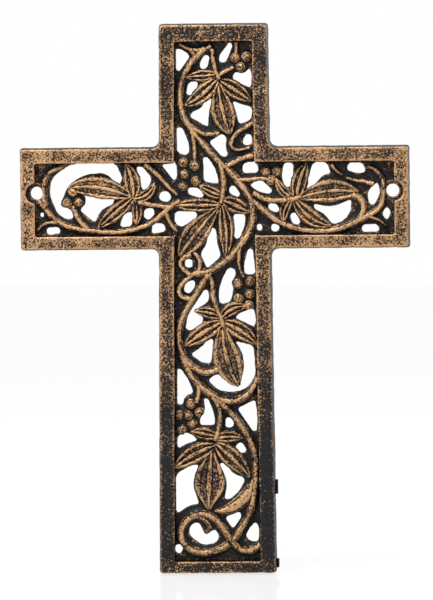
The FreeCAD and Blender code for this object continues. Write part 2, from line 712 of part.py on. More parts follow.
add_relief("scroll_curl", [
    strand(3.4, [(-13, 32.6), (-8.6, 31.6), (-5.2, 29), (-4.4, 25.4), (-6.2, 23.2)], 0.6),
])
add_relief("branches_crossing", [
    strand(2.8, [(3.4, 227.8), (4.7, 222), (5.5, 216.5), (4.9, 211), (3.6, 205.6)]),
    strand(2.8, [(6, 225.2), (11, 228.2), (16, 230.6), (22.6, 231.9)]),
])
add_relief("branches_top_arm", [
    strand(2.6, [(-15.2, 250.5), (-11, 247), (-6.5, 244.2), (-2, 243.4), (3.4, 244.6)], 0.7),
    strand(2.6, [
        (22.4, 250.2), (17.5, 247.3), (13.3, 245.1), (10.2, 241.2), (9.1, 237.7), (11, 235.1),
        (14.4, 234.9), (19.6, 236.1),
    ], 0.5),
    strand(2.0, [(-0.6, 290.6), (-0.1, 285), (0.9, 280), (3.2, 274)]),
])
add_relief("tendrils_top_arm", [
    strand(2.2, [(-4.6, 291), (-8.6, 290.2), (-12.6, 290.4), (-18.8, 293.6)], 0.5),
    strand(1.8, [(-9.6, 285.9), (-11, 288), (-12.4, 290.6)]),
    strand(1.8, [(3.2, 276.2), (6.6, 278.4), (11, 280.4)]),
    strand(1.6, [(12.7, 294.4), (12.8, 291), (12.5, 287)], 1.0, 0.7),
])
add_relief("berry_stems_crossing", [
    strand(2.0, [(-12.4, 245.4), (-11.1, 240), (-10.7, 234.6), (-10.6, 228)], 0.7),
    strand(2.0, [(13.8, 218.7), (19, 218.3), (24, 219.3), (30, 218.7)], 0.8),
])
add_relief("branches_left_arm", [
    strand(2.6, [(-78.4, 204.5), (-76.2, 198.7), (-73.2, 194.4), (-69, 190.6)]),
    strand(1.8, [(-87, 195.6), (-91, 196), (-95, 194.7), (-98, 191.6)], 0.4),
    strand(2.4, [(-27, 203), (-26.3, 198.5), (-24.6, 194.3), (-20.6, 190)], 0.7),
    strand(2.4, [(-42, 206.7), (-36, 205.3), (-30, 204.2), (-25.5, 203.8)]),
    strand(2.6, [(-38.2, 227.4), (-32.2, 222.6), (-27.8, 217.6), (-24.2, 213.6), (-20.4, 210.6)], 0.6),
])
add_relief("branches_right_arm", [
    strand(3.0, [(21.6, 211.2), (25.4, 208.7), (30, 207.2), (36, 206.8), (42, 207.2), (48, 208.8)]),
    strand(3.2, [(76.4, 209.8), (80.2, 208), (82.3, 204.8), (82.2, 200.6), (80, 196)]),
    strand(2.4, [(88, 215.6), (83, 217), (78, 217.5), (73, 219.2)], 0.5),
    strand(1.8, [(64.6, 226.6), (67, 223), (70.4, 220.8)], 0.5),
    strand(1.8, [(85.6, 197.4), (90.4, 196), (95, 192.2)], 0.4),
])
add_relief("branches_post", [
    strand(2.8, [(-3, 167), (-1.5, 161), (-1.6, 154.5), (0.2, 148.5), (3, 142.5), (4.2, 137.6)]),
    strand(2.2, [(-9.5, 167), (-8.2, 171.5), (-8.7, 175), (-11.4, 178.4)], 0.7),
    strand(2.4, [
        (-10.5, 167.4), (-15, 164.4), (-19.3, 160.3), (-20.6, 156.8), (-18.5, 153.6), (-12.6, 152.8),
    ]),
    strand(2.2, [(-13.6, 166.2), (-18, 169.4), (-19.7, 172.6), (-17.6, 175.8), (-13.2, 177.2)]),
    strand(1.8, [(13.9, 183), (13.2, 177.2), (13.1, 172.2), (13.8, 168.6), (15.8, 164.6)], 0.6),
])
add_relief("branches_lower_post", [
    strand(3.0, [(-3, 100.4), (0.3, 95.5), (2, 91), (2.1, 86), (1, 80), (-0.9, 74)]),
    strand(2.2, [(-9.9, 105), (-9.6, 100), (-11, 95.4)]),
])


# ---------------------------------------------------------------- relief: leaves
STATIONS = 10
FIRST_STATION = 0.03
LAST_STATION = 0.985
NARROWEST = 0.1
THREE_RIDGES = [(1.0, 0.0), (1.0, 0.3), (0.8, 0.86), (0.64, 0.8), (0.36, 0.36), (0.14, 1.0), (-0.14, 1.0),
                (-0.36, 0.36), (-0.64, 0.8), (-0.8, 0.86), (-1.0, 0.3), (-1.0, 0.0)]
BROAD_RIDGES = [(1.0, 0.0), (1.0, 0.3), (0.9, 0.84), (0.7, 0.8), (0.52, 0.44), (0.24, 0.36), (0.1, 1.0),
                (-0.1, 1.0), (-0.24, 0.36), (-0.52, 0.44), (-0.7, 0.8), (-0.9, 0.84), (-1.0, 0.3),
                (-1.0, 0.0)]
ROUND_HUSK = [(1.0, 0.0), (0.9, 0.5), (0.5, 0.9), (0.0, 1.0), (-0.5, 0.9), (-0.9, 0.5), (-1.0, 0.0)]


def leaflet(base, middle, tip, width, ridges=THREE_RIDGES, fullest=0.46, taper=0.75):
    """Pointed oval blade on a bowed midline, with raised margins and a raised midrib.
    It is widest at the fullest share of its length, and a larger taper makes slimmer ends."""
    midline = Part.Arc(place(*base, WEB_FRONT), place(*middle, WEB_FRONT), place(*tip, WEB_FRONT))
    span = midline.LastParameter - midline.FirstParameter
    power = math.log(0.5) / math.log(fullest)
    sections = []
    for i in range(STATIONS):
        share = FIRST_STATION + (LAST_STATION - FIRST_STATION) * i / (STATIONS - 1)
        fullness = math.sin(math.pi * share ** power) ** taper
        half = width / 2 * max(fullness, NARROWEST)
        rise = size("leaf_rise") * (0.62 + 0.38 * min(1.0, 2.2 * fullness))
        here = midline.FirstParameter + share * span
        centre = midline.value(here)
        across = midline.tangent(here)[0].cross(FRONT)
        corners = [centre + across * (half * u) + FRONT * (rise * v) for u, v in ridges]
        sections.append(Part.makePolygon(corners + corners[:1]))
    return Part.makeLoft(sections, True, True)


add_relief("leaf_top_arm", [
    leaflet((2.5, 275), (4.4, 259), (9.2, 243.4), 13.4, BROAD_RIDGES, 0.62, 0.85),
    leaflet((2.6, 276.6), (-6.5, 276), (-15.4, 275.2), 6.4),
    leaflet((2.6, 274.6), (-6, 266), (-16, 259.4), 9.6),
    leaflet((3, 273.5), (12, 268), (21, 261.6), 9.6),
])
add_relief("leaf_crossing", [
    leaflet((3.6, 204.6), (-9.2, 190.5), (-20, 176), 13.8, BROAD_RIDGES, 0.6, 0.8),
    leaflet((4.8, 209.6), (-1.5, 211.8), (-8.4, 215.7), 6.4),
    leaflet((4, 204.6), (-9, 204.6), (-22.6, 204.8), 7.6),
    leaflet((4, 205.5), (6.4, 190), (5.8, 175), 8.4),
    leaflet((3.8, 207.6), (11.5, 204.4), (19.6, 200.4), 9),
])
add_relief("leaf_left_arm", [
    leaflet((-45.4, 209), (-64, 214.8), (-81.4, 214.6), 12, BROAD_RIDGES, 0.5),
    leaflet((-45, 208), (-45.4, 218), (-48.8, 228), 9.6),
    leaflet((-44.6, 209.6), (-54.5, 201), (-65, 192.4), 8.6),
    leaflet((-44.2, 208.6), (-42.8, 201), (-43.8, 193.6), 6),
    leaflet((-45.4, 208.4), (-37.6, 210.6), (-33, 217.4), 6),
])
add_relief("leaf_right_arm", [
    leaflet((45.6, 207.6), (64, 211.9), (80, 211), 12.4, BROAD_RIDGES, 0.54),
    leaflet((45.4, 206.8), (47, 217), (51.4, 228), 9.4),
    leaflet((45, 207.2), (38.5, 211.5), (34, 219.4), 5.6),
    leaflet((44, 208.2), (52, 198), (64.4, 192.6), 9),
    leaflet((43.6, 208), (38.6, 201.5), (38.8, 194.2), 5.8),
])
add_relief("leaf_middle_post", [
    leaflet((4, 140), (5.7, 121), (12.8, 103.8), 15.2, BROAD_RIDGES, 0.58, 0.75),
    leaflet((4, 142.4), (-5, 145.4), (-12, 146.1), 6.4),
    leaflet((4.4, 140.4), (-7, 134), (-17.6, 126.6), 10),
    leaflet((3.4, 139.8), (14, 135), (23, 127), 9.6),
    leaflet((2.8, 141), (9.5, 147.2), (17.4, 148.4), 7),
])
add_relief("leaf_foot", [
    leaflet((-2.4, 73), (-4.2, 53), (-4.8, 35.2), 17.8, BROAD_RIDGES, 0.58, 1.25),
    leaflet((0.8, 76.4), (-6.5, 78), (-14.8, 79.4), 7),
    leaflet((0, 71.8), (-12, 67), (-24, 59), 10.4),
    leaflet((-1.4, 73), (8.5, 64.4), (18.4, 53.6), 11),
    leaflet((-1.6, 75.4), (7.5, 76.4), (14.8, 75.6), 6.6),
])
add_relief("sheath_foot", [
    leaflet((20.8, 55), (15.4, 42.4), (-2, 35), 7.6, ROUND_HUSK),
])


# ---------------------------------------------------------------- relief: berries
BERRIES = {
    "berries_top_arm": [(12.2, 285.9), (18.3, 286.4), (15, 280.6)],
    "berries_crossing": [(-17, 228.4), (-10.6, 226.4), (-16.4, 221.8), (-10.2, 217.9), (-17.4, 215)],
    "berries_left_arm": [(-81.4, 206.2), (-75.6, 206.8), (-78.4, 212.4)],
    "berries_right_arm": [(28.4, 222.9), (34.7, 223), (31.4, 218.1)],
    "berries_middle_post": [(12.5, 160.9), (19.2, 162.2), (12.9, 152.9), (19, 155.3), (18.6, 148.9)],
    "berries_lower_post": [(-14.2, 94.6), (-9.4, 89.9), (-20.8, 88.4), (-15.8, 88.3), (-13.6, 83.5),
                           (-19.2, 80.2)],
}


def berry(x, z):
    """A berry standing on the web: a half ball on a short straight neck."""
    radius = size("berry_diameter") / 2
    neck = size("leaf_rise") - radius
    foot = place(x, z, WEB_FRONT)
    stalk = Part.makeCylinder(radius, neck, foot, FRONT)
    dome = Part.makeSphere(radius, foot + FRONT * neck, FRONT, 0, 90, 360)
    return stalk.fuse(dome).removeSplitter()


for label, centres in BERRIES.items():
    add_relief(label, [berry(x, z) for x, z in centres])


# ---------------------------------------------------------------- checks and files
doc.recompute()
nodes = [border] + webs + bosses + gates + relief
for item in doc.Objects:
    if "Invalid" in item.State or "Error" in item.State:
        raise RuntimeError(item.Label + " did not build")
for node in nodes:
    if node.Shape.isNull() or not node.Shape.isValid() or not node.Shape.Solids:
        raise RuntimeError(node.Label + " has no sound solid")
for node in nodes:
    node.Shape.exportStep("parts/%s.step" % node.Label)
    print("%-24s %2d solids %9.1f mm3" % (node.Label, len(node.Shape.Solids), node.Shape.Volume))
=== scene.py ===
import math
import random

import bmesh
import bpy
import numpy as np
from mathutils import Matrix, Vector
from mathutils.bvhtree import BVHTree


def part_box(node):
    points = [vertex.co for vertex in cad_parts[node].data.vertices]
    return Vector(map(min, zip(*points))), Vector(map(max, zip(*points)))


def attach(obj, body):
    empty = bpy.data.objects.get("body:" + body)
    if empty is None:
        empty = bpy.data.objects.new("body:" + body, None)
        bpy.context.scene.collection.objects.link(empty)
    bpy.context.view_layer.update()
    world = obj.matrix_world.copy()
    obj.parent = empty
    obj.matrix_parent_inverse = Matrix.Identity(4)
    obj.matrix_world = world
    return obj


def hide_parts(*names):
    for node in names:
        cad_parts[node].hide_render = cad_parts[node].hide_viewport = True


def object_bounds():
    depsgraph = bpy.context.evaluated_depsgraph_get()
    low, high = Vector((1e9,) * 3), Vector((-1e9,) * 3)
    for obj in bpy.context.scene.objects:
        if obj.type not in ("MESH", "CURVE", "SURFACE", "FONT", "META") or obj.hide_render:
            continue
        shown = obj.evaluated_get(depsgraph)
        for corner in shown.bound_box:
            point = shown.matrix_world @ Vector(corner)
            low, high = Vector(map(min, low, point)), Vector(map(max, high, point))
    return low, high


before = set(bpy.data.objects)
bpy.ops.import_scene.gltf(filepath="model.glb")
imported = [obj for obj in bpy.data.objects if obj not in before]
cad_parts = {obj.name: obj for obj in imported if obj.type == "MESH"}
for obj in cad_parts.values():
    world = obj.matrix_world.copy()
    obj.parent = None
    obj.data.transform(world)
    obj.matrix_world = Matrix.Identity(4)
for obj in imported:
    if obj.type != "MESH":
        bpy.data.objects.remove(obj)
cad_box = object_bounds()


# ------------------------------------------------------------------ border frame
# The raised rail round the whole cross, cast in one pour of grey iron in a sand mould.
# Its arrises are soft, its faces a little wavy, and the sand has left its grain everywhere.
MM = 0.001
SAME_POINT = 0.001 * MM
low_corner, high_corner = (Vector(corner) for corner in cad_box)


def node_mesh(node):
    """A bmesh of one CAD node with its loose triangles sewn together."""
    shape = bmesh.new()
    shape.from_mesh(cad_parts[node].data)
    bmesh.ops.remove_doubles(shape, verts=shape.verts, dist=SAME_POINT)
    return shape


def settle(piece):
    """Makes what the piece's modifiers give its own mesh."""
    graph = bpy.context.evaluated_depsgraph_get()
    mesh = bpy.data.meshes.new_from_object(piece.evaluated_get(graph))
    piece.modifiers.clear()
    piece.data = mesh


def even_skin(name, shape, grid, rounds, growth=0.0):
    """A closed skin of even little squares over a shape, with its sharp edges rubbed down.
    The growth makes good what the rubbing takes off a thin stem."""
    mesh = bpy.data.meshes.new(name)
    shape.to_mesh(mesh)
    shape.free()
    piece = bpy.data.objects.new(name, mesh)
    bpy.context.scene.collection.objects.link(piece)
    skin = piece.modifiers.new("skin", "REMESH")
    skin.mode = "VOXEL"
    skin.voxel_size = grid
    rub = piece.modifiers.new("rub", "SMOOTH")
    rub.factor = 0.5
    rub.iterations = rounds
    thicken = piece.modifiers.new("thicken", "DISPLACE")
    thicken.mid_level = 0.0
    thicken.strength = growth
    settle(piece)
    return piece


def sand_lumps(name, lump):
    """Cloudy unevenness with lumps of a given size, as sand leaves on iron."""
    lumps = bpy.data.textures.new(name, "CLOUDS")
    lumps.noise_scale = lump
    lumps.noise_depth = 2
    return lumps


def roughen(piece, lumps, height):
    """Pushes the skin in and out by up to half the height."""
    push = piece.modifiers.new("push", "DISPLACE")
    push.texture = lumps
    push.texture_coords = "LOCAL"
    push.mid_level = 0.5
    push.strength = height


def mark_crests(piece, rounds, proud_by):
    """Stores how proud each point stands of the skin around it: 1 on a crest, 0 in a groove,
    and a half where the skin is level."""
    mesh = piece.data
    count = len(mesh.vertices)
    places = np.empty(count * 3)
    mesh.vertices.foreach_get("co", places)
    places = places.reshape(-1, 3)
    outward = np.empty(count * 3)
    mesh.vertex_normals.foreach_get("vector", outward)
    pairs = np.empty(len(mesh.edges) * 2, dtype=np.int64)
    mesh.edges.foreach_get("vertices", pairs)
    pairs = pairs.reshape(-1, 2)
    here = np.concatenate([pairs[:, 0], pairs[:, 1]])
    beside = np.concatenate([pairs[:, 1], pairs[:, 0]])
    neighbours = np.maximum(np.bincount(here, minlength=count), 1)
    level = places
    for _ in range(rounds):
        total = [np.bincount(here, level[beside, axis], count) for axis in range(3)]
        level = np.stack(total, axis=1) / neighbours[:, None]
    proud = ((places - level) * outward.reshape(-1, 3)).sum(axis=1)
    crest = mesh.attributes.new("crest", "FLOAT", "POINT")
    crest.data.foreach_set("value", np.clip(0.5 + proud / proud_by / 2, 0, 1).astype(np.float32))


def keep_in_box(piece):
    """No lump of the skin reaches past the casting's own size."""
    for vertex in piece.data.vertices:
        for axis in range(3):
            vertex.co[axis] = min(max(vertex.co[axis], low_corner[axis]), high_corner[axis])


def hand_over(piece, node, finish):
    """The worked skin takes the CAD node's place, with its finish, and rides with the casting."""
    keep_in_box(piece)
    piece.data.materials.clear()
    piece.data.materials.append(finish)
    piece.data.shade_smooth()
    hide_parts(node)
    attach(piece, "root")


def new_group(name, numbers, results):
    """An empty shader node group: numbers in, and colours, values or normals out."""
    group = bpy.data.node_groups.new(name, "ShaderNodeTree")
    for label, value in numbers.items():
        socket = group.interface.new_socket(label, in_out="INPUT", socket_type="NodeSocketFloat")
        socket.default_value = value
    for label, kind in results.items():
        group.interface.new_socket(label, in_out="OUTPUT", socket_type="NodeSocket" + kind)
    return group, group.nodes.new("NodeGroupInput").outputs, group.nodes.new("NodeGroupOutput").inputs


def add(tree, kind, values=None, **settings):
    """A node with its settings, and its sockets filled with numbers or other nodes' outputs."""
    node = tree.nodes.new("ShaderNode" + kind)
    for label, value in settings.items():
        setattr(node, label, value)
    for label, value in (values or {}).items():
        if isinstance(value, bpy.types.NodeSocket):
            tree.links.new(value, node.inputs[label])
        else:
            node.inputs[label].default_value = value
    return node


def reckon(tree, operation, *values):
    """What a Math node works out."""
    return add(tree, "Math", dict(enumerate(values)), operation=operation).outputs[0]


def weighed(tree, load, value, level, weight):
    """A load of paint, made more or less by how far a value lies over its level."""
    return reckon(tree, "MULTIPLY_ADD", reckon(tree, "SUBTRACT", value, level), weight, load)


def ramp(tree, value, start, end, low=0.0, high=1.0):
    """A smooth step of a value from low to high."""
    step = {"Value": value, "From Min": start, "From Max": end, "To Min": low, "To Max": high}
    return add(tree, "MapRange", step, interpolation_type="SMOOTHSTEP").outputs["Result"]


def speckle(tree, place, spot, detail, distortion=0.0, roughness=0.6):
    """Cloudy noise whose blotches are about one spot wide."""
    values = {"Vector": place, "Scale": 1 / spot, "Detail": detail}
    values.update({"Roughness": roughness, "Distortion": distortion})
    return add(tree, "TexNoise", values).outputs["Fac"]


def mixed(tree, share, first, second):
    """One colour turning into another."""
    return add(tree, "Mix", {0: share, 6: first, 7: second}, data_type="RGBA").outputs[2]


# Sand grain, as a height from 0 to 1: coarse grains, fine ones, and a few burst blowholes.
COARSE_GRAIN = 1.1 * MM
FINE_GRAIN = 0.42 * MM
BLOWHOLES_APART = 4.5 * MM
BLOWHOLE_FLOOR = 0.05
BLOWHOLE_RIM = 0.12
grain, grain_in, grain_out = new_group("sand_grain", {"Coarse": 0.5}, {"Height": "Float"})
grain_place = add(grain, "TexCoord").outputs["Object"]
coarse_grain = speckle(grain, grain_place, COARSE_GRAIN, 3.0, 0.4)
fine_grain = speckle(grain, grain_place, FINE_GRAIN, 2.0)
blown = add(grain, "TexVoronoi", {"Vector": grain_place, "Scale": 1 / BLOWHOLES_APART}).outputs["Distance"]
blowhole = ramp(grain, blown, BLOWHOLE_FLOOR, BLOWHOLE_RIM)
grain_mix = add(grain, "Mix", {0: grain_in["Coarse"], 2: fine_grain, 3: coarse_grain}).outputs[0]
grain.links.new(reckon(grain, "MULTIPLY", grain_mix, blowhole), grain_out["Height"])

# Bronze paint dragged over black with a nearly dry brush.  It takes on what stands proud and
# faces the front and breaks up into worm-like specks.  It is also thinned towards the foot,
# more on the right: that is painted shade, the cross darkening downwards where the light from
# above falls off.  A finish sets how much of it there is (Cover), how strongly the small specks,
# broad patches and proud edges count, the heights over the back from which the brush begins to
# reach (Low) and reaches fully (High), how strongly the painted shade thins it down the post
# (the foot setting), and how far it is heavier on the arms and lighter at the top (Uneven).
# Under the bronze the black turns to a dusty iron grey in the grit, most on faces turned to the
# back: partly real dusty bare iron, partly painted light that lifts the back the lamps leave dark.
BLACK_PAINT = (0.0080, 0.0078, 0.0092, 1)
THIN_BRONZE = (0.108, 0.059, 0.031, 1)
FULL_BRONZE = (0.505, 0.302, 0.152, 1)
# Dusty bare iron, also used as painted light on faces turned to the back.
DUSTY_IRON_AND_BACK_LIGHT = (0.040, 0.037, 0.036, 1)
BLACK_ROUGHNESS = 0.46
BRONZE_ROUGHNESS = 0.40
BRONZE_METAL = 0.35
PAINT_GLOSS = 0.13
SPECK = 1.00 * MM
PATCH = 13 * MM
# Painted shade down the post: it grows from the upper post to near the foot, eases off on the lowest few
# millimetres of the foot rail, and is weaker on the left than on the right.
FOOT_SHADE_FROM = low_corner.z + 151.9 * MM
FOOT_SHADE_TO = low_corner.z + 41.9 * MM
FOOT_RAIL_SHADE_FROM = low_corner.z + 4.9 * MM
FOOT_RAIL_SHADE_TO = low_corner.z + 12.9 * MM
FOOT_RAIL_SHADE_EASED = 0.45
RIGHT_SHADE_FROM = 5 * MM
RIGHT_SHADE_TO = 30 * MM
LEFT_SHADE_SHARE = 0.70
RIGHT_SHADE_SHARE = 0.94
ARMS_FROM = 30 * MM
ARMS_TO = 50 * MM
ARMS_HEAVIER = 0.22
TOP_FROM = 30 * MM
TOP_TO = 60 * MM
TOP_LIGHTER = 0.16
OUT_OF_REACH = 1.3
TURNED_AWAY = 1.0
LEVEL = 0.5
SIDE_ON = -0.05
FACE_ON = 0.85
BARE_LOAD = -0.03
COVERED_LOAD = 0.08
THICK_LOAD = 0.65
THINNEST_PATCH = 0.72
LEAST_GRIT = 0.15
# The share of that dusty grey on front faces; faces turned to the back get all of it, as painted light.
FRONT_DUST_AND_BACK_LIGHT = 0.30
brush_numbers = {
    "Cover": 0.3, "Specks": 1.6, "Patches": 0.8, "Crests": 1.5, "Low": 6 * MM, "High": 10 * MM, "Foot_Shade": 0.3,
    "Uneven": 0.5,
}
brush, brush_in, brush_out = new_group(
    "dry_brushed_bronze", brush_numbers, {"Color": "Color", "Bronze": "Float", "Roughness": "Float"}
)
brush_place = add(brush, "TexCoord").outputs["Object"]
across, depth, up = add(brush, "SeparateXYZ", {0: brush_place}).outputs
facing = add(brush, "SeparateXYZ", {0: add(brush, "NewGeometry").outputs["Normal"]}).outputs["Y"]
crest = add(brush, "Attribute", attribute_name="crest").outputs["Fac"]
worms = speckle(brush, brush_place, SPECK, 3.0, 0.6, 0.62)
patches = speckle(brush, brush_place, PATCH, 2.0)
reach = ramp(brush, reckon(brush, "MULTIPLY", depth, -1.0), brush_in["Low"], brush_in["High"])
turned = ramp(brush, reckon(brush, "MULTIPLY", facing, -1.0), SIDE_ON, FACE_ON)
# Painted shade: less bronze lower down the post, more so on the right, scaled by the finish's foot setting.
foot_rail_shade = ramp(brush, up, FOOT_RAIL_SHADE_FROM, FOOT_RAIL_SHADE_TO, FOOT_RAIL_SHADE_EASED, 1.0)
low_shade = reckon(brush, "MULTIPLY", ramp(brush, up, FOOT_SHADE_FROM, FOOT_SHADE_TO), foot_rail_shade)
right_shade = ramp(brush, across, RIGHT_SHADE_FROM, RIGHT_SHADE_TO, LEFT_SHADE_SHARE, RIGHT_SHADE_SHARE)
painted_shade = reckon(brush, "MULTIPLY", reckon(brush, "MULTIPLY", low_shade, right_shade), brush_in["Foot_Shade"])
arms = ramp(brush, reckon(brush, "ABSOLUTE", across), ARMS_FROM, ARMS_TO, 0.0, ARMS_HEAVIER)
top = ramp(brush, up, TOP_FROM, TOP_TO, 0.0, -TOP_LIGHTER)
arms_and_top = reckon(brush, "MULTIPLY", reckon(brush, "ADD", arms, top), brush_in["Uneven"])
load = weighed(brush, brush_in["Cover"], worms, LEVEL, brush_in["Specks"])
load = weighed(brush, load, patches, LEVEL, brush_in["Patches"])
load = weighed(brush, load, crest, LEVEL, brush_in["Crests"])
# The painted shade is taken off the load here.
load = reckon(brush, "ADD", reckon(brush, "SUBTRACT", load, painted_shade), arms_and_top)
load = weighed(brush, load, reach, 1.0, OUT_OF_REACH)
load = weighed(brush, load, turned, 1.0, TURNED_AWAY)
bronze = ramp(brush, load, BARE_LOAD, COVERED_LOAD)
worn = ramp(brush, patches, 0.25, 0.6, THINNEST_PATCH, 1.0)
thickness = reckon(brush, "MULTIPLY", ramp(brush, load, 0.0, THICK_LOAD), worn)
bronze_tone = mixed(brush, thickness, THIN_BRONZE, FULL_BRONZE)
# Dusty iron grey in the grit of the black, most on faces turned to the back: partly real, partly painted
# light that lifts the back the lamps leave dark.
grit = ramp(brush, worms, 0.42, 0.60, LEAST_GRIT, 1.0)
dust_and_back_light = reckon(brush, "MULTIPLY", ramp(brush, facing, 0.1, 0.9, FRONT_DUST_AND_BACK_LIGHT, 1.0), grit)
black_and_back_light = mixed(brush, dust_and_back_light, BLACK_PAINT, DUSTY_IRON_AND_BACK_LIGHT)
brush.links.new(mixed(brush, bronze, black_and_back_light, bronze_tone), brush_out["Color"])
brush.links.new(bronze, brush_out["Bronze"])
roughness = ramp(brush, bronze, 0.0, 1.0, BLACK_ROUGHNESS, BRONZE_ROUGHNESS)
brush.links.new(roughness, brush_out["Roughness"])


def painted_iron(name, coarse, relief, brushing):
    """Cast iron in black paint with a dry-brushed bronze: one material from the two groups.
    The grain is partly coarse, and stands as high as the relief."""
    material = bpy.data.materials.new(name)
    material.use_nodes = True
    tree = material.node_tree
    shader = tree.nodes["Principled BSDF"]
    shader.inputs["Specular IOR Level"].default_value = PAINT_GLOSS
    brushed = tree.nodes.new("ShaderNodeGroup")
    brushed.node_tree = brush
    for label, value in brushing.items():
        brushed.inputs[label].default_value = value
    sand = tree.nodes.new("ShaderNodeGroup")
    sand.node_tree = grain
    sand.inputs["Coarse"].default_value = coarse
    bump = add(tree, "Bump", {"Height": sand.outputs["Height"], "Distance": relief, "Strength": 1.0})
    metal = reckon(tree, "MULTIPLY", brushed.outputs["Bronze"], BRONZE_METAL)
    tree.links.new(brushed.outputs["Color"], shader.inputs["Base Color"])
    tree.links.new(brushed.outputs["Roughness"], shader.inputs["Roughness"])
    tree.links.new(metal, shader.inputs["Metallic"])
    tree.links.new(bump.outputs["Normal"], shader.inputs["Normal"])
    return material


# The rail's foot setting gives it the strongest painted shade of the finishes.
rail_finish = painted_iron(
    "dry_brushed_rail",
    coarse=0.6,
    relief=0.30 * MM,
    brushing={
        "Cover": -0.04, "Specks": 4.4, "Patches": 1.2, "Crests": 1.5, "Low": 9.5 * MM,
        "High": 11.5 * MM, "Foot_Shade": 0.68, "Uneven": 1.0,
    },
)
rail_waves = sand_lumps("rail_waves", 7 * MM)
rail_sand = sand_lumps("rail_sand", 1.6 * MM)
rail = even_skin("border_rail", node_mesh("border_frame"), grid=0.70 * MM, rounds=2)
roughen(rail, rail_waves, height=0.45 * MM)
roughen(rail, rail_sand, height=0.30 * MM)
settle(rail)
mark_crests(rail, rounds=3, proud_by=0.20 * MM)
hand_over(rail, "border_frame", rail_finish)


# ------------------------------------------------------------------ pierced web
# The thin panel inside the rails, in six parts, with an opening cut wherever the ornament
# leaves room.  Wax fillets run it up the sides of every vine and leaf that stands on it.
RELIEF = [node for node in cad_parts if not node.startswith(("border", "web", "screw", "gate"))]
FILLET = 1.7 * MM
FACE_DEPTH = 0.6 * MM


def relief_nodes(*kinds):
    """The nodes of the ornament of one or more kinds."""
    return [node for node in RELIEF if node.startswith(kinds)]


def relief_tree():
    """A search tree over all the ornament."""
    points = []
    faces = []
    for node in RELIEF:
        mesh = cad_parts[node].data
        first = len(points)
        points.extend(vertex.co.copy() for vertex in mesh.vertices)
        faces.extend([first + corner for corner in polygon.vertices] for polygon in mesh.polygons)
    return BVHTree.FromPolygons(points, faces)


def grow_fillets(piece, ornament, front):
    """Runs the web's front up to the ornament in a hollow curve."""
    for vertex in piece.data.vertices:
        if vertex.co.y > front + FACE_DEPTH:
            continue
        gap = ornament.find_nearest(vertex.co, FILLET)[3]
        if gap is not None:
            vertex.co.y -= FILLET - math.sqrt(max(FILLET**2 - (FILLET - gap) ** 2, 0))


web_finish = painted_iron(
    "blackened_web",
    coarse=0.5,
    relief=0.22 * MM,
    brushing={
        "Cover": 0.02, "Specks": 3.4, "Patches": 1.2, "Crests": 0.9, "Low": 4.2 * MM,
        "High": 8 * MM, "Foot_Shade": 0.05,
    },
)
web_sand = sand_lumps("web_sand", 2.2 * MM)
ornament = relief_tree()
for node in [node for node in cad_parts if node.startswith("web_")]:
    web_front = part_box(node)[0].y
    web = even_skin(node.replace("web", "pierced_web"), node_mesh(node), grid=0.42 * MM, rounds=3)
    grow_fillets(web, ornament, web_front)
    roughen(web, web_sand, height=0.55 * MM)
    settle(web)
    mark_crests(web, rounds=6, proud_by=0.20 * MM)
    hand_over(web, node, web_finish)


# ------------------------------------------------------------------ screw bosses
# A ring round each screw hole, which gives the screw's head a seat level with the web.
boss_finish = painted_iron(
    "blackened_boss",
    coarse=0.5,
    relief=0.22 * MM,
    brushing={
        "Cover": -0.1, "Specks": 1.8, "Patches": 0.6, "Crests": 1.0, "Low": 4 * MM,
        "High": 7 * MM, "Foot_Shade": 0.0,
    },
)
for node in ("screw_boss_left", "screw_boss_right"):
    boss = even_skin(node + "_ring", node_mesh(node), grid=0.30 * MM, rounds=3)
    roughen(boss, web_sand, height=0.20 * MM)
    settle(boss)
    mark_crests(boss, rounds=6, proud_by=0.15 * MM)
    hand_over(boss, node, boss_finish)


# ------------------------------------------------------------------ gate stubs
# Where the iron ran into the mould, broken off and ground back, but not quite flush.
gate_finish = painted_iron(
    "painted_gate",
    coarse=0.8,
    relief=0.35 * MM,
    brushing={
        "Cover": -0.85, "Specks": 2.0, "Patches": 0.5, "Crests": 1.2, "Low": 0.0,
        "High": 3 * MM, "Foot_Shade": 0.0,
    },
)
for node in ("gate_stub_upper", "gate_stub_lower"):
    stub = even_skin(node + "_lump", node_mesh(node), grid=0.25 * MM, rounds=24)
    roughen(stub, rail_sand, height=0.5 * MM)
    settle(stub)
    mark_crests(stub, rounds=6, proud_by=0.15 * MM)
    hand_over(stub, node, gate_finish)


# ------------------------------------------------------------------ vine
# The stem that climbs from the scroll at the foot to the top, and its runs along the arms.
vine_finish = painted_iron(
    "dry_brushed_vine",
    coarse=0.55,
    relief=0.22 * MM,
    brushing={
        "Cover": 0.28, "Specks": 5.4, "Patches": 1.4, "Crests": 1.3, "Low": 7.8 * MM,
        "High": 10.5 * MM, "Foot_Shade": 0.10,
    },
)
vine_swell = sand_lumps("vine_swell", 5 * MM)
stem_sand = sand_lumps("stem_sand", 1.1 * MM)
for node in relief_nodes("vine", "curl", "scroll"):
    vine = even_skin(node + "_stem", node_mesh(node), grid=0.33 * MM, rounds=24, growth=0.20 * MM)
    roughen(vine, vine_swell, height=1.0 * MM)
    roughen(vine, stem_sand, height=0.50 * MM)
    settle(vine)
    mark_crests(vine, rounds=8, proud_by=0.26 * MM)
    hand_over(vine, node, vine_finish)


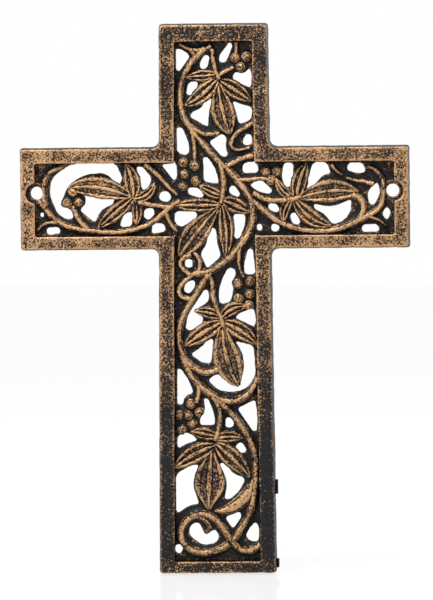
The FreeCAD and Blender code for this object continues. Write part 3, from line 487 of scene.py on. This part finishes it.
# ------------------------------------------------------------------ sheath
# The broad husk that wraps the vine above the scroll, rounder and smoother than a leaf.
sheath_finish = painted_iron(
    "dry_brushed_husk",
    coarse=0.55,
    relief=0.20 * MM,
    brushing={
        "Cover": 0.44, "Specks": 4.4, "Patches": 0.8, "Crests": 1.6, "Low": 7.2 * MM,
        "High": 10.4 * MM, "Foot_Shade": 0.0,
    },
)
sheath = even_skin("sheath_husk", node_mesh("sheath_foot"), grid=0.33 * MM, rounds=8, growth=0.10 * MM)
roughen(sheath, vine_swell, height=0.5 * MM)
roughen(sheath, stem_sand, height=0.35 * MM)
settle(sheath)
mark_crests(sheath, rounds=12, proud_by=0.30 * MM)
hand_over(sheath, "sheath_foot", sheath_finish)


# ------------------------------------------------------------------ branches
# The thin stems that carry the leaves and berries, and the tendrils that fill the corners.
branch_finish = painted_iron(
    "dry_brushed_branch",
    coarse=0.55,
    relief=0.20 * MM,
    brushing={
        "Cover": 0.22, "Specks": 4.8, "Patches": 1.2, "Crests": 1.4, "Low": 6.8 * MM,
        "High": 9.6 * MM, "Foot_Shade": 0.10,
    },
)
branch_swell = sand_lumps("branch_swell", 3 * MM)
for node in relief_nodes("branches", "tendrils", "berry_stems"):
    branch = even_skin(node + "_stem", node_mesh(node), grid=0.27 * MM, rounds=20, growth=0.22 * MM)
    roughen(branch, branch_swell, height=0.9 * MM)
    roughen(branch, stem_sand, height=0.40 * MM)
    settle(branch)
    mark_crests(branch, rounds=8, proud_by=0.20 * MM)
    hand_over(branch, node, branch_finish)


# ------------------------------------------------------------------ leaves
# Six leaves of three to five ribbed blades.  The brush has caught their ribs and margins and
# left the grooves between them black.
leaf_finish = painted_iron(
    "dry_brushed_leaf",
    coarse=0.45,
    relief=0.20 * MM,
    brushing={
        "Cover": 0.14, "Specks": 3.0, "Patches": 1.2, "Crests": 1.7, "Low": 6.6 * MM,
        "High": 9.2 * MM, "Foot_Shade": 0.08,
    },
)
leaf_swell = sand_lumps("leaf_swell", 4 * MM)
for node in relief_nodes("leaf"):
    leaf = even_skin(node + "_blades", node_mesh(node), grid=0.30 * MM, rounds=5, growth=0.05 * MM)
    roughen(leaf, leaf_swell, height=1.0 * MM)
    roughen(leaf, stem_sand, height=0.50 * MM)
    settle(leaf)
    mark_crests(leaf, rounds=8, proud_by=0.20 * MM)
    hand_over(leaf, node, leaf_finish)


# ------------------------------------------------------------------ berries
# Small groups of round fruit.  No two are the same size, since each was rolled in wax, and
# each has a small pit where its flower dried.
SMALLEST_BERRY = 0.86
LARGEST_BERRY = 1.04
PIT = 1.0 * MM
PIT_DEPTH = 0.5 * MM
PIT_ASIDE = 0.6 * MM


def uneven_berries(shape, chance):
    """Grows or shrinks each berry a little about its own middle, and returns the middles."""
    middles = []
    left = set(shape.verts)
    while left:
        berry = {min(left, key=lambda vert: vert.index)}
        edge = list(berry)
        while edge:
            near = {other.other_vert(vert) for vert in edge for other in vert.link_edges} - berry
            berry |= near
            edge = list(near)
        left -= berry
        berry = sorted(berry, key=lambda vert: vert.index)
        middle = sum((vert.co for vert in berry), Vector()) / len(berry)
        growth = Matrix.Scale(chance.uniform(SMALLEST_BERRY, LARGEST_BERRY), 4)
        bmesh.ops.transform(shape, matrix=growth, space=Matrix.Translation(-middle), verts=berry)
        middles.append(middle)
    return middles


def dimple(piece, middles, chance):
    """Presses a small pit into each berry's front, a little off its middle."""
    for middle in middles:
        aside = chance.uniform(-PIT_ASIDE, PIT_ASIDE)
        above = chance.uniform(-PIT_ASIDE, PIT_ASIDE)
        aim = middle + Vector((aside, 0, above))
        for vertex in piece.data.vertices:
            away = math.hypot(vertex.co.x - aim.x, vertex.co.z - aim.z) / PIT
            if away < 1 and vertex.co.y < middle.y:
                vertex.co.y += PIT_DEPTH * (1 - away * away) ** 2


berry_finish = painted_iron(
    "dry_brushed_berry",
    coarse=0.6,
    relief=0.22 * MM,
    brushing={
        "Cover": 0.26, "Specks": 3.4, "Patches": 0.6, "Crests": 0.9, "Low": 7 * MM,
        "High": 9.2 * MM, "Foot_Shade": 0.10,
    },
)
berry_lumps = sand_lumps("berry_lumps", 2.2 * MM)
berry_chance = random.Random(11)
for node in sorted(relief_nodes("berries")):
    fruit = node_mesh(node)
    fruit.verts.index_update()
    berry_middles = uneven_berries(fruit, berry_chance)
    berries = even_skin(node + "_fruit", fruit, grid=0.25 * MM, rounds=3)
    dimple(berries, berry_middles, berry_chance)
    roughen(berries, berry_lumps, height=1.1 * MM)
    roughen(berries, stem_sand, height=0.25 * MM)
    settle(berries)
    mark_crests(berries, rounds=8, proud_by=0.20 * MM)
    hand_over(berries, node, berry_finish)


# ------------------------------------------------------------------ floor and studio
# A white table that runs into a white room.  It takes a faint shadow and a faint reflection.
TABLE_REACH = 4.0
TABLE_GAP = 0.1 * MM
TABLE_GLOW = 1.045
GLOW_SHARE = 0.70
ROOM_LIGHT = 0.33
floor_shape = bmesh.new()
floor_place = Matrix.Translation((0, 0, low_corner.z - TABLE_GAP))
bmesh.ops.create_grid(floor_shape, x_segments=2, y_segments=2, size=TABLE_REACH, matrix=floor_place)
floor_mesh = bpy.data.meshes.new("floor")
floor_shape.to_mesh(floor_mesh)
floor_shape.free()
floor = bpy.data.objects.new("floor", floor_mesh)
bpy.context.scene.collection.objects.link(floor)


def seen_directly(tree):
    """1 for rays that see the room, straight, mirrored or through glass, and 0 for its light."""
    path = add(tree, "LightPath").outputs
    seen = reckon(tree, "MAXIMUM", path["Is Camera Ray"], path["Is Glossy Ray"])
    return reckon(tree, "MAXIMUM", seen, path["Is Transmission Ray"])


floor_finish = bpy.data.materials.new("white_table")
floor_finish.use_nodes = True
table = floor_finish.node_tree
table_top = table.nodes["Principled BSDF"]
table_top.inputs["Base Color"].default_value = (0.86, 0.86, 0.87, 1)
table_top.inputs["Roughness"].default_value = 0.10
table_top.inputs["Specular IOR Level"].default_value = 0.5
table_glow = add(table, "Emission", {"Color": (1, 1, 1, 1), "Strength": TABLE_GLOW})
table_share = reckon(table, "MULTIPLY", seen_directly(table), GLOW_SHARE)
table_mix = add(table, "MixShader", {0: table_share, 1: table_top.outputs[0], 2: table_glow.outputs[0]})
table.links.new(table_mix.outputs[0], table.nodes["Material Output"].inputs["Surface"])
floor_mesh.materials.append(floor_finish)

room = bpy.data.worlds.new("white_room")
room.use_nodes = True
room_tree = room.node_tree
room_light = room_tree.nodes["Background"]
room_light.inputs["Color"].default_value = (0.97, 0.98, 1.0, 1)
room_light.inputs["Strength"].default_value = ROOM_LIGHT
room_seen = add(room_tree, "Background", {"Color": (1, 1, 1, 1), "Strength": 1.0})
room_values = {0: seen_directly(room_tree), 1: room_light.outputs[0], 2: room_seen.outputs[0]}
room_mix = add(room_tree, "MixShader", room_values)
room_tree.links.new(room_mix.outputs[0], room_tree.nodes["World Output"].inputs["Surface"])
bpy.context.scene.world = room

middle = (low_corner + high_corner) / 2


def softbox(name, place, width, power, colour):
    """A square lamp behind cloth, turned to the middle of the cross."""
    lamp = bpy.data.lights.new(name, "AREA")
    lamp.size = width
    lamp.energy = power
    lamp.color = colour
    holder = bpy.data.objects.new(name, lamp)
    holder.location = middle + Vector(place)
    holder.rotation_euler = (-Vector(place)).to_track_quat("-Z", "Y").to_euler()
    bpy.context.scene.collection.objects.link(holder)


softbox("top_softbox", (-0.25, -0.42, 0.95), width=0.45, power=14.0, colour=(1.0, 0.98, 0.95))
softbox("front_softbox", (-0.9, -1.8, 0.5), width=1.0, power=9.0, colour=(1.0, 1.0, 1.0))
softbox("left_rim_softbox", (-1.1, 0.9, 0.5), width=0.7, power=9.0, colour=(0.93, 0.97, 1.0))
softbox("right_rim_softbox", (1.1, 1.0, 0.5), width=0.7, power=9.0, colour=(0.93, 0.97, 1.0))

# ------------------------------------------------------------------ camera
# A long lens, a little above the middle of the cross and a little to its right.
CAMERA_AWAY = 2.6
CAMERA_TURN = math.radians(2.0)
CAMERA_RISE = math.radians(2.5)
CAMERA_ROLL = math.radians(-0.55)
VIEW_HEIGHT = 0.332
lens = bpy.data.cameras.new("long_lens")
lens.sensor_width = 36
lens.lens = lens.sensor_width * CAMERA_AWAY / VIEW_HEIGHT
lens.clip_end = 20
camera = bpy.data.objects.new("camera", lens)
bpy.context.scene.collection.objects.link(camera)
target = middle + Vector((0.5 * MM, 0, -0.5 * MM))
direction = Vector((
    math.sin(CAMERA_TURN) * math.cos(CAMERA_RISE),
    -math.cos(CAMERA_TURN) * math.cos(CAMERA_RISE),
    math.sin(CAMERA_RISE),
))
turn = (-direction).to_track_quat("-Z", "Y").to_matrix().to_4x4()
place = Matrix.Translation(target + direction * CAMERA_AWAY)
camera.matrix_world = place @ turn @ Matrix.Rotation(CAMERA_ROLL, 4, "Z")
bpy.context.scene.camera = camera
bpy.context.scene.view_settings.view_transform = "Standard"
